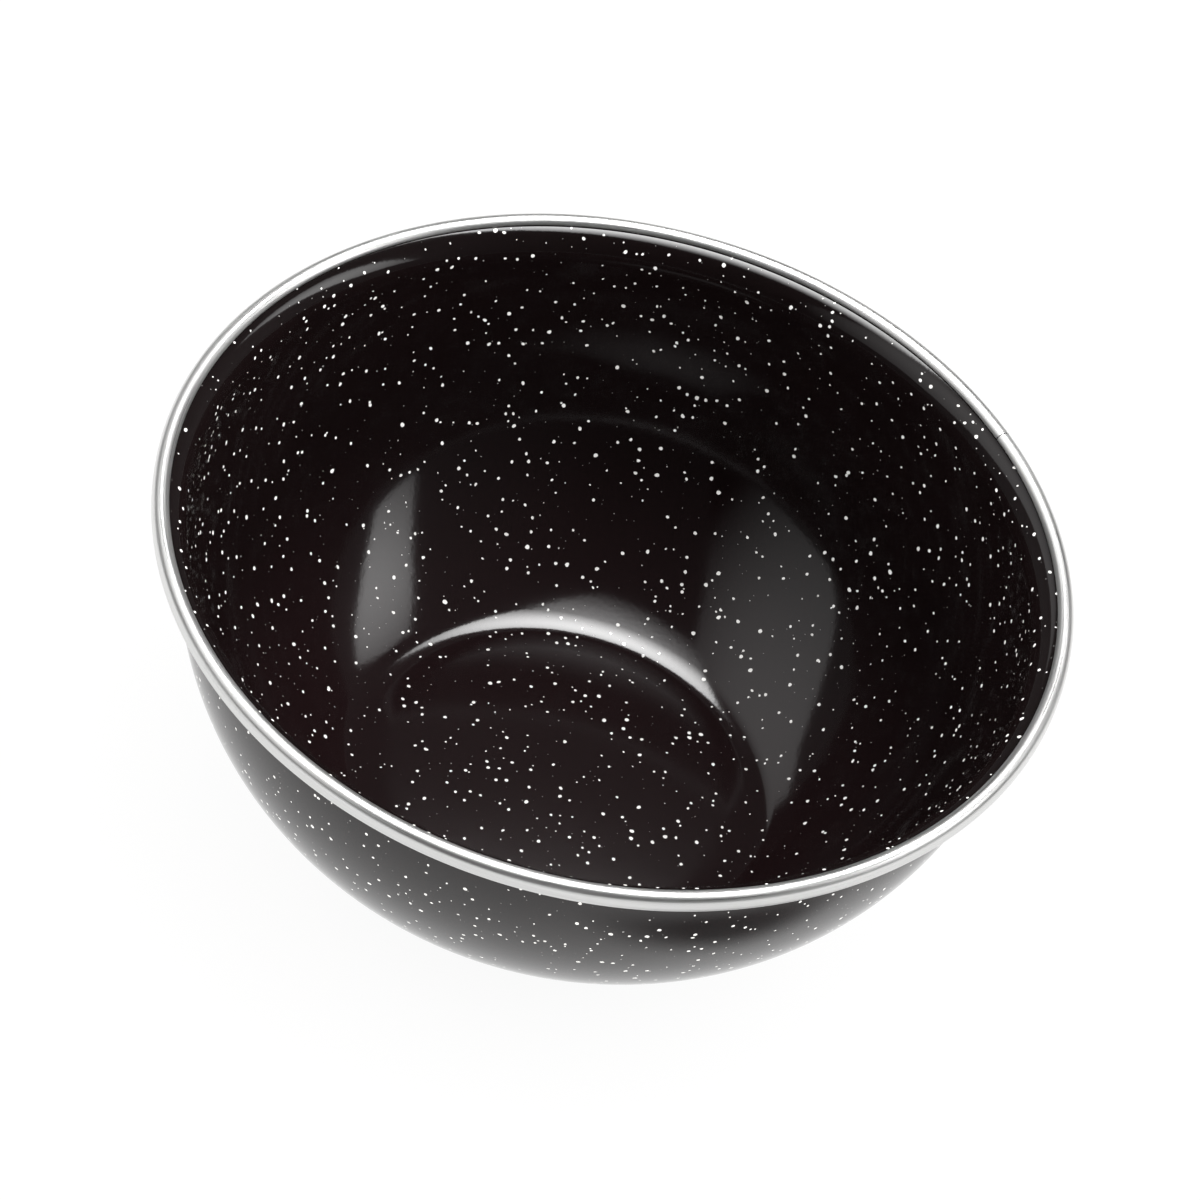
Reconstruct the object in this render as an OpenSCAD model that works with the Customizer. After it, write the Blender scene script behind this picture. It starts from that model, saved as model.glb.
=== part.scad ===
// Enamelled steel basin bowl: a pressed steel bowl whose wall turns out into a lip, a glass enamel
// coat inside and outside, and a stainless strip rolled round the edge of the lip.
// The bowl stands on z = 0 and is turned about the Z axis.

/* [Bowl] */
// Diameter over the rim band
rim_d = 160; // [145:1:180]
// Height from the table to the crest of the rim band
bowl_h = 64; // [56:1:80]
// Diameter of the floor inside the bowl, where the heel begins
floor_d = 69; // [56:1:84]
// Width of the flat ring at the edge of the floor, which the bowl stands on
stand_w = 2; // [1.5:0.25:5]
// Height by which the middle of the floor is pressed up inside that ring
crown_rise = 1.4; // [0.6:0.1:2]
// Radius of the heel, the inside corner between the floor and the wall
heel_r = 11; // [6:0.5:16]
// Radius of the bend that turns the wall out into the lip, on its upper face
lip_r = 5.6; // [4.5:0.1:7]

/* [Sheet and coats] */
// Thickness of the pressed steel sheet
steel_t = 0.6; // [0.5:0.1:0.8]
// Thickness of each enamel coat
enamel_t = 0.25; // [0.15:0.05:0.3]

/* [Rim band] */
// Width of the rolled band along the radius
band_w = 3; // [2.8:0.1:3.2]
// Height of the rolled band, from its foot to its crest
band_h = 3.8; // [3.6:0.1:4]
// Height of the band's crest above the edge of the lip
band_rise = 0.95; // [0.9:0.05:1]
// Thickness of the stainless strip
strip_t = 0.4; // [0.3:0.05:0.45]
// Gap between the edge of the lip and the inside of the strip
edge_gap = 0.6; // [0.4:0.1:0.7]
// Width of the butt joint where the two ends of the strip meet
joint_gap = 0.2; // [0.1:0.05:0.5]
// Direction of the butt joint, in degrees from the X axis
joint_angle = 39; // [0:1:359]

/* [Hidden] */
$fn = 180;
full_turn = 360;
quarter_turn = 90;

// How far past its arc a sector reaches, as a share of the arc's radius
sector_share = 1.5;

// Full thickness of the coated sheet, and the depths of the sheet's two faces below the inside surface
wall_t = steel_t + 2 * enamel_t;
sheet_near = enamel_t;
sheet_far = enamel_t + steel_t;

// The floor's flat ring, the crown inside it, a shallow cap about a centre far below, and the heel's arc
floor_r = floor_d / 2;
floor_z = wall_t;
crown_edge_r = floor_r - stand_w;
crown_r = (crown_edge_r ^ 2 + crown_rise ^ 2) / (2 * crown_rise);
crown_c = [0, floor_z + crown_rise - crown_r];
heel_c = [floor_r, floor_z + heel_r];

// The lip comes level at its trimmed edge, which lies inside the rolled band
rim_r = rim_d / 2;
lip_z = bowl_h - band_rise;
edge_r = rim_r - strip_t - edge_gap;

// The throat is where the wall stands upright and the bend of the lip begins
throat_r = edge_r - lip_r;
throat_z = lip_z - lip_r;
lip_c = [edge_r, throat_z];

// The wall is one arc, upright at the throat and tangent to the heel:
// run is the heel centre's distance from the throat, rise its depth below it
wall_run = throat_r - floor_r;
wall_rise = throat_z - heel_c[1];
wall_r = (wall_run ^ 2 + wall_rise ^ 2 - heel_r ^ 2) / (2 * (wall_run - heel_r));
wall_c = [throat_r - wall_r, throat_z];
heel_angle = atan2(wall_rise, wall_r - wall_run);

// The band is rolled about two centres, one above the other. Its upper end lies on the lip with the inside
// of the strip, and its lower end touches the underside of the lip with the outside of the strip
bead_r = band_w / 2;
crest_c = [rim_r - bead_r, bowl_h - bead_r];
foot_c = [rim_r - bead_r, bowl_h - band_h + bead_r];
upper_end = meet(crest_c, bead_r - strip_t, lip_c, lip_r);
lower_end = meet(foot_c, bead_r, lip_c, lip_r - wall_t);
joint_turn = full_turn * joint_gap / (2 * PI * rim_r);

// Angle, seen from the centre of a first circle, of the point nearer the axis where a second one crosses it
function meet(centre, radius, other_c, other_r) =
  let (
    way = other_c - centre,
    far = norm(way),
    spread = acos((radius ^ 2 + far ^ 2 - other_r ^ 2) / (2 * radius * far))
  )
  atan2(way[1], way[0]) - spread;

// Section of a bend: the part of a ring about a centre between two angles
module bend(centre, inner_r, outer_r, from, to) {
  half = (to - from) / 2;
  reach = outer_r * sector_share;
  translate(centre)
    intersection() {
      difference() {
        circle(r = outer_r);
        circle(r = inner_r);
      }
      polygon([
        [0, 0],
        reach * [cos(from), sin(from)],
        reach / cos(half) * [cos(from + half), sin(from + half)],
        reach * [cos(to), sin(to)]
      ]);
    }
}

// Section of a straight run between two corners
module run(low, high) {
  translate(low)
    square(high - low);
}

// Section of the hollow of the bowl, as far out as a depth below its inside surface
module hollow(depth) {
  toe = heel_c + sector_share * (heel_r + wall_t) * [cos(heel_angle), -sin(heel_angle)];
  difference() {
    run([0, floor_z - depth], [floor_r, bowl_h]);
    translate(crown_c)
      circle(r = crown_r - depth);
  }
  translate(heel_c)
    circle(r = heel_r + depth);
  intersection() {
    translate(wall_c)
      circle(r = wall_r + depth);
    polygon([heel_c, toe, [rim_r, toe[1]], [rim_r, bowl_h], [heel_c[0], bowl_h]]);
  }
  difference() {
    run([0, throat_z], [edge_r, bowl_h]);
    translate(lip_c)
      circle(r = lip_r - depth);
  }
}

// Section of one layer of the bowl, between two depths below the inside surface
module layer(near, far) {
  difference() {
    hollow(far);
    hollow(near);
  }
}

// Section of the strip: rolled over the crest to the lip, upright outside, and rolled in under the lip
module strip() {
  inner_r = bead_r - strip_t;
  bend(crest_c, inner_r, bead_r, quarter_turn, full_turn + upper_end);
  bend(crest_c, inner_r, bead_r, 0, quarter_turn);
  run([rim_r - strip_t, foot_c[1]], [rim_r, crest_c[1]]);
  bend(foot_c, inner_r, bead_r, -quarter_turn, 0);
  bend(foot_c, inner_r, bead_r, lower_end, -quarter_turn);
}

module steel_bowl() {
  color("slategray")
    rotate_extrude()
      layer(sheet_near, sheet_far);
}

module inner_enamel() {
  color([0.09, 0.07, 0.07])
    rotate_extrude()
      layer(0, sheet_near);
}

module outer_enamel() {
  color([0.07, 0.07, 0.07])
    rotate_extrude()
      layer(sheet_far, wall_t);
}

// The ring stops short of a full turn by the width of its joint
module rim_band() {
  color("silver")
    rotate([0, 0, joint_angle + joint_turn / 2])
      rotate_extrude(angle = full_turn - joint_turn)
        strip();
}

steel_bowl();
inner_enamel();
outer_enamel();
rim_band();
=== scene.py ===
import bpy
import numpy as np
from mathutils import Matrix, Vector


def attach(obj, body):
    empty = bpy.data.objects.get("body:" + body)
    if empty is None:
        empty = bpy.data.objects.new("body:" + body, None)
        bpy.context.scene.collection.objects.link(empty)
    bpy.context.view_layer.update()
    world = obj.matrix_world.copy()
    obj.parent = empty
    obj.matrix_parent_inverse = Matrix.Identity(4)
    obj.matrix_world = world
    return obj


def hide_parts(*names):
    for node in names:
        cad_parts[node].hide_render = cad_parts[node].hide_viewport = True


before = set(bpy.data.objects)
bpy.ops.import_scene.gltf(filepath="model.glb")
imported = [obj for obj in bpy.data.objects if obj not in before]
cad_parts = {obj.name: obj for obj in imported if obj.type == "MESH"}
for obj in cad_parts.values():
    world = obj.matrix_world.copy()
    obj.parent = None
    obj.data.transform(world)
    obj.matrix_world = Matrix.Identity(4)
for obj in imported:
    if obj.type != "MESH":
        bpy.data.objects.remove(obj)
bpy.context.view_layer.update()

MM = 0.001
scene = bpy.context.scene
scene.view_settings.view_transform = "Standard"


# Sizes of the bowl

def reach(node):
    """Largest radius, lowest level and highest level of a CAD node, from its own vertices."""
    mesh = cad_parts[node].data
    points = np.empty(3 * len(mesh.vertices))
    mesh.vertices.foreach_get("co", points)
    x, y, z = points.reshape(-1, 3).T / MM
    return np.hypot(x, y).max(), z.min(), z.max()


rim_r, band_z, bowl_h = reach("rim_band")
edge_r, coat_low, lip_z = reach("inner_enamel")
enamel_t = reach("steel_bowl")[1]

# The same sizes as the solids have, worked out in the same way
floor_r = 34.5
stand_w = 2
crown_rise = 1.4
heel_r = 11
lip_r = 5.6
band_w = 3
strip_t = 0.4
joint_gap = 0.2
joint_angle = 39

floor_z = coat_low + enamel_t
wall_t = floor_z
crown_edge_r = floor_r - stand_w
crown_r = (crown_edge_r ** 2 + crown_rise ** 2) / (2 * crown_rise)
crown_c = np.array([0, floor_z + crown_rise - crown_r])
heel_c = np.array([floor_r, floor_z + heel_r])
throat_r = edge_r - lip_r
throat_z = lip_z - lip_r
lip_c = np.array([edge_r, throat_z])
wall_run = throat_r - floor_r
wall_rise = throat_z - heel_c[1]
wall_r = (wall_run ** 2 + wall_rise ** 2 - heel_r ** 2) / (2 * (wall_run - heel_r))
wall_c = np.array([throat_r - wall_r, throat_z])
heel_angle = np.degrees(np.arctan2(wall_rise, wall_r - wall_run))

bead_r = band_w / 2
crest_c = np.array([rim_r - bead_r, bowl_h - bead_r])
foot_c = np.array([rim_r - bead_r, band_z + bead_r])


# Shapes

def arc(centre, radius, start, end, count):
    """Points on a circle: the centre plus the radius times (cos, sin) of angles in degrees."""
    angle = np.radians(np.linspace(start, end, count))
    return centre + radius * np.stack([np.cos(angle), np.sin(angle)], -1)


def meet(centre, radius, other_c, other_r):
    """Angle, seen from a circle's centre, of the point nearer the axis where another circle crosses it."""
    way = other_c - centre
    far = np.hypot(*way)
    spread = np.arccos((radius ** 2 + far ** 2 - other_r ** 2) / (2 * radius * far))
    return np.arctan2(way[1], way[0]) - spread


def face(depth):
    """Section of the surface that lies a depth below the bowl's inside, from the axis to the lip's edge:
    crown, flat ring, heel arc, wall arc, and the bend of the lip the other way."""
    crown_points, heel_points, wall_points, lip_points = 24, 20, 72, 32
    crown_reach = np.degrees(np.arccos((floor_z - depth - crown_c[1]) / (crown_r - depth)))
    return np.concatenate([
        arc(crown_c, crown_r - depth, 90, 90 - crown_reach, crown_points),
        arc(heel_c, heel_r + depth, -90, -heel_angle, heel_points),
        arc(wall_c, wall_r + depth, -heel_angle, 0, wall_points)[1:],
        arc(lip_c, lip_r - depth, 180, 90, lip_points)[1:],
    ])


def put(name, points, faces, uv=None):
    """Makes a smooth mesh object from an array of points in mm and a list of faces, with a UV pair in mm for
    each point where given, and puts it on the bowl's one body. Edges that bend by more than sharp_from stay
    crisp."""
    sharp_from = np.radians(35)
    mesh = bpy.data.meshes.new(name)
    mesh.from_pydata((points * MM).tolist(), [], faces)
    if uv is not None:
        corner = np.empty(len(mesh.loops), dtype=int)
        mesh.loops.foreach_get("vertex_index", corner)
        mesh.uv_layers.new(name="strip").data.foreach_set("uv", (uv[corner] * MM).ravel())
    mesh.polygons.foreach_set("use_smooth", np.ones(len(mesh.polygons), dtype=bool))
    mesh.set_sharp_from_angle(angle=sharp_from)
    piece = bpy.data.objects.new(name, mesh)
    scene.collection.objects.link(piece)
    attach(piece, "root")
    return piece


def turned(loop, turns):
    """Points of a section carried round the axis: (r, z) at a turn t goes to (r cos t, r sin t, z)."""
    turn = np.radians(turns)[:, None]
    r, z = loop.T
    return np.stack([r * np.cos(turn), r * np.sin(turn), z + 0 * turn], -1).reshape(-1, 3)


def lattice(rows, columns, rows_close, columns_close):
    """Quads between neighbouring rows and columns of a grid of points; where one of them closes, its last
    meets its first."""
    row = np.arange(rows if rows_close else rows - 1)[:, None]
    column = np.arange(columns if columns_close else columns - 1)
    next_row = (row + 1) % rows * columns
    next_column = (column + 1) % columns
    corners = [row * columns + column, row * columns + next_column, next_row + next_column, next_row + column]
    return np.stack(corners, -1).reshape(-1, 4)


def coat(name, near, far):
    """One enamel coat: the section out along its near face and back along its far one, turned full circle,
    with a fan of triangles round a point on the axis at either end."""
    around = 320
    near_face, far_face = face(near), face(far)
    loop = np.concatenate([near_face[1:], far_face[:0:-1]])
    turns = np.linspace(0, 360, around, endpoint=False)
    rows, columns = len(turns), len(loop)
    poles = [[0, 0, near_face[0, 1]], [0, 0, far_face[0, 1]]]
    points = np.concatenate([turned(loop, turns), poles])
    first = np.arange(rows) * columns
    last = first + columns - 1
    near_fan = np.stack([np.full(rows, rows * columns), first, np.roll(first, -1)], -1)
    far_fan = np.stack([np.full(rows, rows * columns + 1), np.roll(last, -1), last], -1)
    quads = lattice(rows, columns, True, False)
    return put(name, points, quads.tolist() + near_fan.tolist() + far_fan.tolist())


def rim_strip(name):
    """The rim strip: its middle line lies at one radius from a centre, turning from its end on the lip to the
    outside, then going straight down as the centre does, then turning in under the lip. Half the thickness
    goes to either side along the same normal, and less near both ends, where it follows a quarter circle.
    The section is carried from one side of the joint to the other, and capped at both."""
    along, around = 84, 481
    middle_r = bead_r - strip_t / 2
    over_turn = meet(crest_c, bead_r - strip_t, lip_c, lip_r) + 2 * np.pi
    under_turn = -meet(foot_c, bead_r, lip_c, lip_r - wall_t)
    drop = crest_c[1] - foot_c[1]
    length = middle_r * (over_turn + under_turn) + drop
    run = length * (1 - np.cos(np.linspace(0, np.pi, along))) / 2
    over = np.clip(run / middle_r, 0, over_turn)
    down = np.clip(run - middle_r * over_turn, 0, drop)
    under = np.clip((run - drop) / middle_r - over_turn, 0, under_turn)
    angle = over_turn - over - under
    normal = np.stack([np.cos(angle), np.sin(angle)], -1)
    centre = crest_c - np.stack([0 * down, down], -1)
    end_r = 0.3 * strip_t
    short = np.clip(end_r - np.minimum(run, length - run), 0, None)
    half = strip_t / 2 - end_r + np.sqrt(end_r ** 2 - short ** 2)
    outer = centre + (middle_r + half)[:, None] * normal
    inner = centre + (middle_r - half)[:, None] * normal
    loop = np.concatenate([outer, inner[::-1]])
    gap = np.degrees(joint_gap / rim_r)
    turns = joint_angle + gap / 2 + np.linspace(0, 360 - gap, around)
    rows, columns = len(turns), len(loop)
    u, v = np.meshgrid(np.radians(turns) * rim_r, np.concatenate([run, run[::-1]]), indexing="ij")
    side = np.arange(len(run) - 1)
    cap = np.stack([columns - 1 - side, columns - 2 - side, side + 1, side], -1)
    far_cap = (rows - 1) * columns + cap[:, ::-1]
    quads = np.concatenate([lattice(rows, columns, False, True), cap, far_cap])
    return put(name, turned(loop, turns), quads.tolist(), np.stack([u, v], -1).reshape(-1, 2))


# Materials

def rgb(code, alpha=1):
    """Linear colour of an sRGB hex code such as #D6D6D5."""
    value = np.array([int(code[i:i + 2], 16) for i in (1, 3, 5)]) / 255
    linear = np.where(value <= 0.04045, value / 12.92, ((value + 0.055) / 1.055) ** 2.4)
    return (*linear.tolist(), alpha)


def add(tree, kind, inputs=None, **settings):
    """Adds a node of a kind with its settings; inputs maps a socket's name or number to a value or a link."""
    node = tree.nodes.new("ShaderNode" + kind)
    for key, value in settings.items():
        setattr(node, key, value)
    for socket, value in (inputs or {}).items():
        if isinstance(value, bpy.types.NodeSocket):
            tree.links.new(value, node.inputs[socket])
        else:
            node.inputs[socket].default_value = value
    return node.outputs


def material(name):
    """An empty node material: the material and its tree."""
    made = bpy.data.materials.new(name)
    made.use_nodes = True
    made.node_tree.nodes.clear()
    return made, made.node_tree


def vitreous_enamel():
    """Black glass frit, sprayed on and fired to a glossy coat. The eye gets a deep warm black under a clear
    gloss, a shade lighter low down and a shade duller over the floor; a faint orange peel that frays the
    edges of reflections; and pale flecks where grains of white frit were dusted on before firing."""
    fleck_cell = 1.95 * MM
    fleck_least, fleck_most, fleck_edge = 0.08, 0.207, 0.025
    speck_cell = 1.6 * MM
    speck_edge, speck_core, speck_share = 0.07, 0.04, 0.3
    stir_size, stir_reach = 1.2 * MM, 0.5 * MM
    cloud_size, cloud_share = 22 * MM, 0.2
    lighter_below = 30 * MM
    worn_r, worn_edge, worn_share = 33 * MM, 4 * MM, 0.038
    gloss_least, gloss_most = 0.08, 0.1
    peel_size, peel_height = 0.8 * MM, 0.005 * MM
    sag_size, sag_height = 14 * MM, 0.06 * MM
    made, tree = material("black_vitreous_enamel")
    place = add(tree, "TexCoord")["Object"]

    # Flecks and finer specks: the surface cuts balls round scattered points, in a place stirred out of round
    stir = add(tree, "TexNoise", {"Vector": place, "Scale": 1 / stir_size, "Detail": 1.0})["Color"]
    bent = add(tree, "VectorMath", {0: stir, 1: (0.5, 0.5, 0.5)}, operation="SUBTRACT")[0]
    bent = add(tree, "VectorMath", {0: bent, 1: [stir_reach] * 3, 2: place}, operation="MULTIPLY_ADD")[0]
    fleck = add(tree, "TexVoronoi", {"Vector": bent, "Scale": 1 / fleck_cell})
    chance = add(tree, "SeparateColor", {0: fleck["Color"]})
    size = add(tree, "MapRange", {0: chance["Red"], 3: fleck_least, 4: fleck_most})[0]
    core = add(tree, "Math", {0: size, 1: fleck_edge}, operation="SUBTRACT")[0]
    fleck_here = add(tree, "MapRange", {0: fleck["Distance"], 1: size, 2: core, 3: 0.0, 4: 1.0})[0]
    speck = add(tree, "TexVoronoi", {"Vector": bent, "Scale": 1 / speck_cell})["Distance"]
    speck_here = add(tree, "MapRange", {0: speck, 1: speck_edge, 2: speck_core, 3: 0.0, 4: speck_share})[0]
    shown = add(tree, "Math", {0: fleck_here, 1: speck_here}, operation="MAXIMUM")[0]
    tone = add(tree, "MixRGB", {0: chance["Green"], 1: rgb("#E6E4E0"), 2: rgb("#FAF9F6")})[0]

    # Ground: clouded a little, and lighter towards the base
    cloud = add(tree, "TexNoise", {"Vector": place, "Scale": 1 / cloud_size, "Detail": 2.0})["Fac"]
    height = add(tree, "SeparateXYZ", {0: place})["Z"]
    base_share = add(tree, "MapRange", {0: height, 1: lighter_below, 2: 0.0, 3: 0.0, 4: 1 - cloud_share},
                 interpolation_type="SMOOTHSTEP")[0]
    depth = add(tree, "Math", {0: cloud, 1: cloud_share, 2: base_share}, operation="MULTIPLY_ADD")[0]
    ground = add(tree, "MixRGB", {0: depth, 1: rgb("#0D0808"), 2: rgb("#1C1112")})[0]
    colour = add(tree, "MixRGB", {0: shown, 1: ground, 2: tone})[0]

    # Gloss and the slow and fine waves in it
    flat_place = add(tree, "VectorMath", {0: place, 1: (1, 1, 0)}, operation="MULTIPLY")[0]
    off_axis = add(tree, "VectorMath", {0: flat_place}, operation="LENGTH")["Value"]
    worn = add(tree, "MapRange", {0: off_axis, 1: worn_r, 2: worn_r - worn_edge, 3: 0.0, 4: worn_share},
               interpolation_type="SMOOTHSTEP")[0]
    gloss = add(tree, "MapRange", {0: cloud, 3: gloss_least, 4: gloss_most})[0]
    gloss = add(tree, "Math", {0: gloss, 1: worn}, operation="ADD")[0]
    skin = add(tree, "TexNoise", {"Vector": place, "Scale": 1 / peel_size, "Detail": 1.0})["Fac"]
    wave = add(tree, "TexNoise", {"Vector": place, "Scale": 1 / sag_size, "Detail": 0.0})["Fac"]
    slow = add(tree, "Bump", {"Height": wave, "Distance": sag_height})[0]
    bump = add(tree, "Bump", {"Height": skin, "Distance": peel_height, "Normal": slow})[0]
    shader = add(tree, "BsdfPrincipled", {
        "Base Color": colour, "Roughness": gloss, "IOR": 1.5, "Normal": bump})[0]
    add(tree, "OutputMaterial", {"Surface": shader})
    return made


def rolled_stainless():
    """Stainless strip, cold rolled and drawn round the edge by rollers. The eye gets a bright satin metal, in
    fine streaks of sharper and duller sheen along its length. The real streaks are some hundredths of a
    millimetre wide and are drawn coarser here so that they show."""
    streak_length, streak_width, streak_height = 30 * MM, 0.25 * MM, 0.0007 * MM
    dull, bright = 0.46, 0.26
    streak_low, streak_high = 0.3, 0.7
    made, tree = material("rolled_stainless_strip")
    place = add(tree, "TexCoord")["UV"]
    drawn = add(tree, "Mapping", {"Vector": place, "Scale": (1 / streak_length, 1 / streak_width, 1.0)})[0]
    streak = add(tree, "TexNoise", {"Vector": drawn, "Scale": 1.0, "Detail": 3.0})["Fac"]
    colour = add(tree, "MixRGB", {0: streak, 1: rgb("#CBCBCA"), 2: rgb("#E0E0DF")})[0]
    rough = add(tree, "MapRange", {0: streak, 1: streak_low, 2: streak_high, 3: dull, 4: bright})[0]
    bump = add(tree, "Bump", {"Height": streak, "Distance": streak_height})[0]
    shader = add(tree, "BsdfPrincipled", {
        "Base Color": colour, "Metallic": 1.0, "Roughness": rough, "Normal": bump})[0]
    add(tree, "OutputMaterial", {"Surface": shader})
    return made


def pickled_steel():
    """Low-carbon steel sheet, pressed and pickled so that the enamel takes. The eye would get a dull, mottled
    grey metal; the coats and the strip cover it."""
    mottle, dull, bright = 3 * MM, 0.62, 0.45
    made, tree = material("pickled_steel_sheet")
    place = add(tree, "TexCoord")["Object"]
    stain = add(tree, "TexNoise", {"Vector": place, "Scale": 1 / mottle, "Detail": 3.0})["Fac"]
    colour = add(tree, "MixRGB", {0: stain, 1: rgb("#77777A"), 2: rgb("#A3A3A4")})[0]
    rough = add(tree, "MapRange", {0: stain, 3: dull, 4: bright})[0]
    shader = add(tree, "BsdfPrincipled", {"Base Color": colour, "Metallic": 1.0, "Roughness": rough})[0]
    add(tree, "OutputMaterial", {"Surface": shader})
    return made


def studio_white():
    """White floor paint. Seen directly or in a reflection it is mostly plain white, and the rest of it is a
    lit surface that keeps the bowl's shadow."""
    white_share = 0.93
    made, tree = material("white_studio_floor")
    path = add(tree, "LightPath")
    seen = add(tree, "Math", {0: path["Is Camera Ray"], 1: path["Is Glossy Ray"]}, operation="MAXIMUM")[0]
    seen = add(tree, "Math", {0: seen, 1: path["Is Transmission Ray"]}, operation="MAXIMUM")[0]
    share = add(tree, "Math", {0: seen, 1: white_share}, operation="MULTIPLY")[0]
    paint = add(tree, "BsdfDiffuse", {"Color": rgb("#E8E8E6")})[0]
    glow = add(tree, "Emission", {"Color": rgb("#FFFFFF"), "Strength": 1.0})[0]
    shader = add(tree, "MixShader", {0: share, 1: paint, 2: glow})[0]
    add(tree, "OutputMaterial", {"Surface": shader})
    made.cycles.emission_sampling = "NONE"
    return made


def black_card(half_long, half_wide):
    """Matt black card whose edge is feathered to nothing, as a studio uses to darken a reflection."""
    feather_from, most = 0.2, 0.8
    to_circle = (1 / half_long, 1 / half_wide, 0)
    made, tree = material("black_card")
    place = add(tree, "TexCoord")["Object"]
    rounded = add(tree, "VectorMath", {0: place, 1: to_circle}, operation="MULTIPLY")[0]
    far = add(tree, "VectorMath", {0: rounded}, operation="LENGTH")["Value"]
    share = add(tree, "MapRange", {0: far, 1: 1.0, 2: feather_from, 3: 0.0, 4: most},
                interpolation_type="SMOOTHSTEP")[0]
    clear = add(tree, "BsdfTransparent")[0]
    black = add(tree, "BsdfDiffuse", {"Color": rgb("#161616")})[0]
    shader = add(tree, "MixShader", {0: share, 1: clear, 2: black})[0]
    add(tree, "OutputMaterial", {"Surface": shader})
    return made


# The bowl

enamel = vitreous_enamel()

inner_coat = coat("inner_coat", 0, enamel_t)
inner_coat.data.materials.append(enamel)
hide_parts("inner_enamel")

outer_coat = coat("outer_coat", wall_t - enamel_t, wall_t)
outer_coat.data.materials.append(enamel)
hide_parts("outer_enamel")

rolled_rim = rim_strip("rolled_rim")
rolled_rim.data.materials.append(rolled_stainless())
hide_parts("rim_band")

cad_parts["steel_bowl"].data.materials.clear()
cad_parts["steel_bowl"].data.materials.append(pickled_steel())


# The studio

def staged(name, points, faces, finish):
    """A mesh in metres that isn't part of the object."""
    mesh = bpy.data.meshes.new(name)
    mesh.from_pydata(points, [], faces)
    mesh.materials.append(finish)
    thing = bpy.data.objects.new(name, mesh)
    scene.collection.objects.link(thing)
    return thing


def softbox(name, corners, hot, tone, spread):
    """A cloth light panel with given corners in metres, brightest at its hot point, where its radiance is the
    tone, and falling smoothly to nothing at the spread. A reflection of a reflection shows only a share of
    its tone, which keeps second images as faint as the photograph has them."""
    further_share = 0.25
    made, tree = material(name + "_cloth")
    place = add(tree, "TexCoord")["Object"]
    far = add(tree, "VectorMath", {0: place, 1: hot}, operation="DISTANCE")["Value"]
    strength = add(tree, "MapRange", {0: far, 1: 0.0, 2: spread, 3: tone, 4: 0.0},
                   interpolation_type="SMOOTHSTEP")[0]
    turns = add(tree, "LightPath")["Ray Depth"]
    kept = add(tree, "MapRange", {0: turns, 1: 1.0, 2: 2.0, 3: 1.0, 4: further_share})[0]
    strength = add(tree, "Math", {0: strength, 1: kept}, operation="MULTIPLY")[0]
    glow = add(tree, "Emission", {"Color": rgb("#FFFFFF"), "Strength": strength})[0]
    add(tree, "OutputMaterial", {"Surface": glow})
    panel = staged(name, corners, [list(range(len(corners)))], made)
    panel.visible_camera = False
    return panel


def oblong(half_x, half_y):
    """Corners of a level rectangle about the origin."""
    return [(-half_x, -half_y, 0), (half_x, -half_y, 0), (half_x, half_y, 0), (-half_x, half_y, 0)]


floor_half = 5
staged("studio_floor", oblong(floor_half, floor_half), [[0, 1, 2, 3]], studio_white())

# A card on the floor beside the bowl that shows only in the gloss of the outer wall
card_half = 55 * MM, 22 * MM
card = staged("black_card", oblong(*card_half), [[0, 1, 2, 3]], black_card(*card_half))
card.location = Vector((58.5, -75, 0.5)) * MM
card.rotation_euler.z = np.radians(38)
card.visible_camera = False
card.visible_diffuse = False
card.visible_shadow = False

# Panels on planes at a distance from the bowl, one overhead and one on either side. The overhead one has to
# show nearly white in black glass, far above the plain level, so it is left out of the diffuse light
far_off = 1.5
overhead = [(0, -0.31), (0.17, -0.195), (0.29, -0.06), (0.31, 0.3), (0.38, 0.6), (-0.2, 0.56), (-0.26, 0.45),
            (-0.45, -0.03), (-0.4, -0.155), (-0.17, -0.28)]
left_side = [(-2.95, 0.98), (-1.46, 0.57), (-0.96, 0.48), (-0.47, 0.4), (-0.31, 0.44), (-0.07, 0.57),
             (0.25, 0.75), (0.48, 0.83), (0.82, 0.83), (1.4, 0.8), (1.3, 2.8), (-0.36, 2.35)]
right_side = [(0.74, 0.92), (0.64, 1.08), (0.51, 1.23), (0.4, 1.32), (0.14, 1.16), (-0.05, 0.99),
              (-0.19, 0.82), (-0.34, 0.59), (-0.42, 0.44), (-0.13, 0.46), (0.02, 0.57), (0.25, 0.7)]
key = softbox("overhead_panel", [Vector((x, y, 1)) * far_off for x, y in overhead],
              hot=Vector((0, 0.3, 1)) * far_off, tone=20, spread=0.65 * far_off)
key.visible_diffuse = False
softbox("left_panel", [Vector((-1, y, z)) * far_off for y, z in left_side],
        hot=Vector((-1, 0.3, 1.2)) * far_off, tone=1.2, spread=2.3 * far_off)
softbox("right_panel", [Vector((1, y, z)) * far_off for y, z in right_side],
        hot=Vector((1, 0.2, 0.75)) * far_off, tone=3.7, spread=1.05 * far_off)

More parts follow.
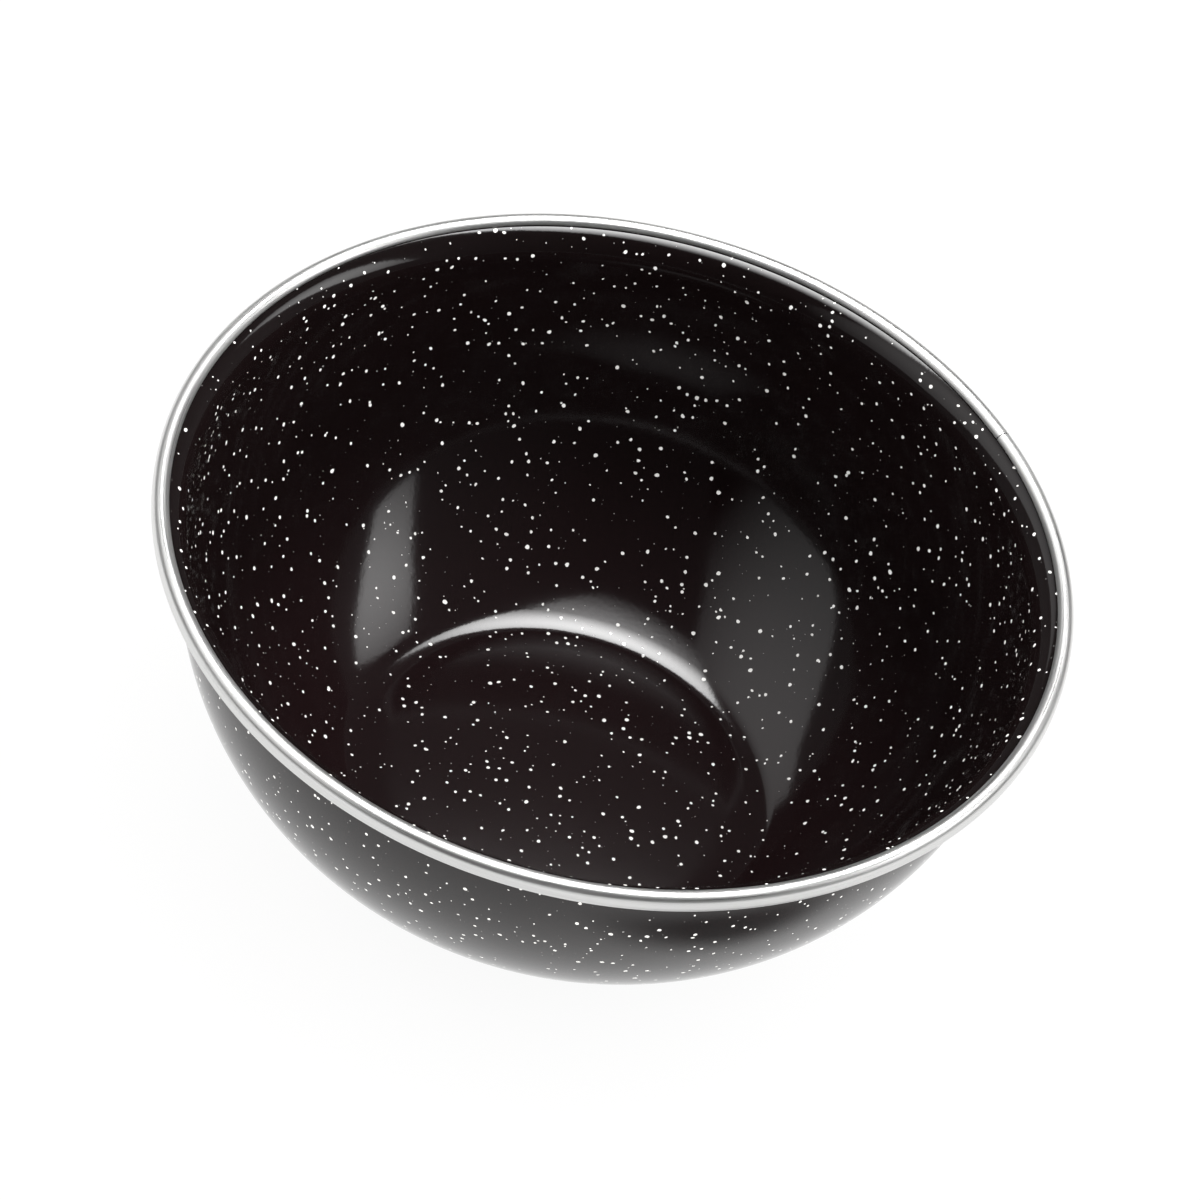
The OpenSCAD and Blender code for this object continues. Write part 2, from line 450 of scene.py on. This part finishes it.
# The world gives the plain level, at which a colour renders about as it is written. It is dim in the gloss,
# like a room beyond the lights, dimmer in front, brighter at the sides, and plain white for the camera
plain_level = 2.2
gloss_level = 0.05
front_share, back_share, back_from = 0.3, 1.15, 0.3
side_share, side_from, side_full = 2.3, 0.2, 0.9
world = bpy.data.worlds.new("soft_studio")
world.use_nodes = True
sky_tree = world.node_tree
path = add(sky_tree, "LightPath")
strength = add(sky_tree, "MapRange", {0: path["Is Glossy Ray"], 3: plain_level, 4: gloss_level})[0]
way = add(sky_tree, "SeparateXYZ", {0: add(sky_tree, "TexCoord")["Generated"]})
front = add(sky_tree, "MapRange", {0: way["Y"], 1: -1.0, 2: back_from, 3: front_share, 4: back_share})[0]
aside = add(sky_tree, "Math", {0: way["X"]}, operation="ABSOLUTE")[0]
sides = add(sky_tree, "MapRange", {0: aside, 1: side_from, 2: side_full, 3: 1.0, 4: side_share})[0]
strength = add(sky_tree, "Math", {0: strength, 1: front}, operation="MULTIPLY")[0]
strength = add(sky_tree, "Math", {0: strength, 1: sides}, operation="MULTIPLY")[0]
strength = add(sky_tree, "MapRange", {0: path["Is Camera Ray"], 3: strength, 4: 1.0})[0]
sky = sky_tree.nodes["Background"].inputs
sky["Color"].default_value = rgb("#FFFFFF")
sky_tree.links.new(strength, sky["Strength"])
scene.world = world


# The camera, with the photograph's place, line of sight and roll

eye = Vector((0, -777.7, 856.9)) * MM
target = Vector((-0.4, 0, 48.3)) * MM
roll = np.radians(14.72)
ahead = (target - eye).normalized()
level = ahead.cross(Vector((0, 0, 1))).normalized()
above = level.cross(ahead)
right = level * np.cos(roll) + above * np.sin(roll)
up = above * np.cos(roll) - level * np.sin(roll)

lens = bpy.data.cameras.new("photo_lens")
lens.lens = 195
lens.sensor_width = 36
lens.clip_end = 50
camera = bpy.data.objects.new("photo_camera", lens)
camera.matrix_world = Matrix.Translation(eye) @ Matrix((right, up, -ahead)).transposed().to_4x4()
scene.collection.objects.link(camera)
scene.camera = camera
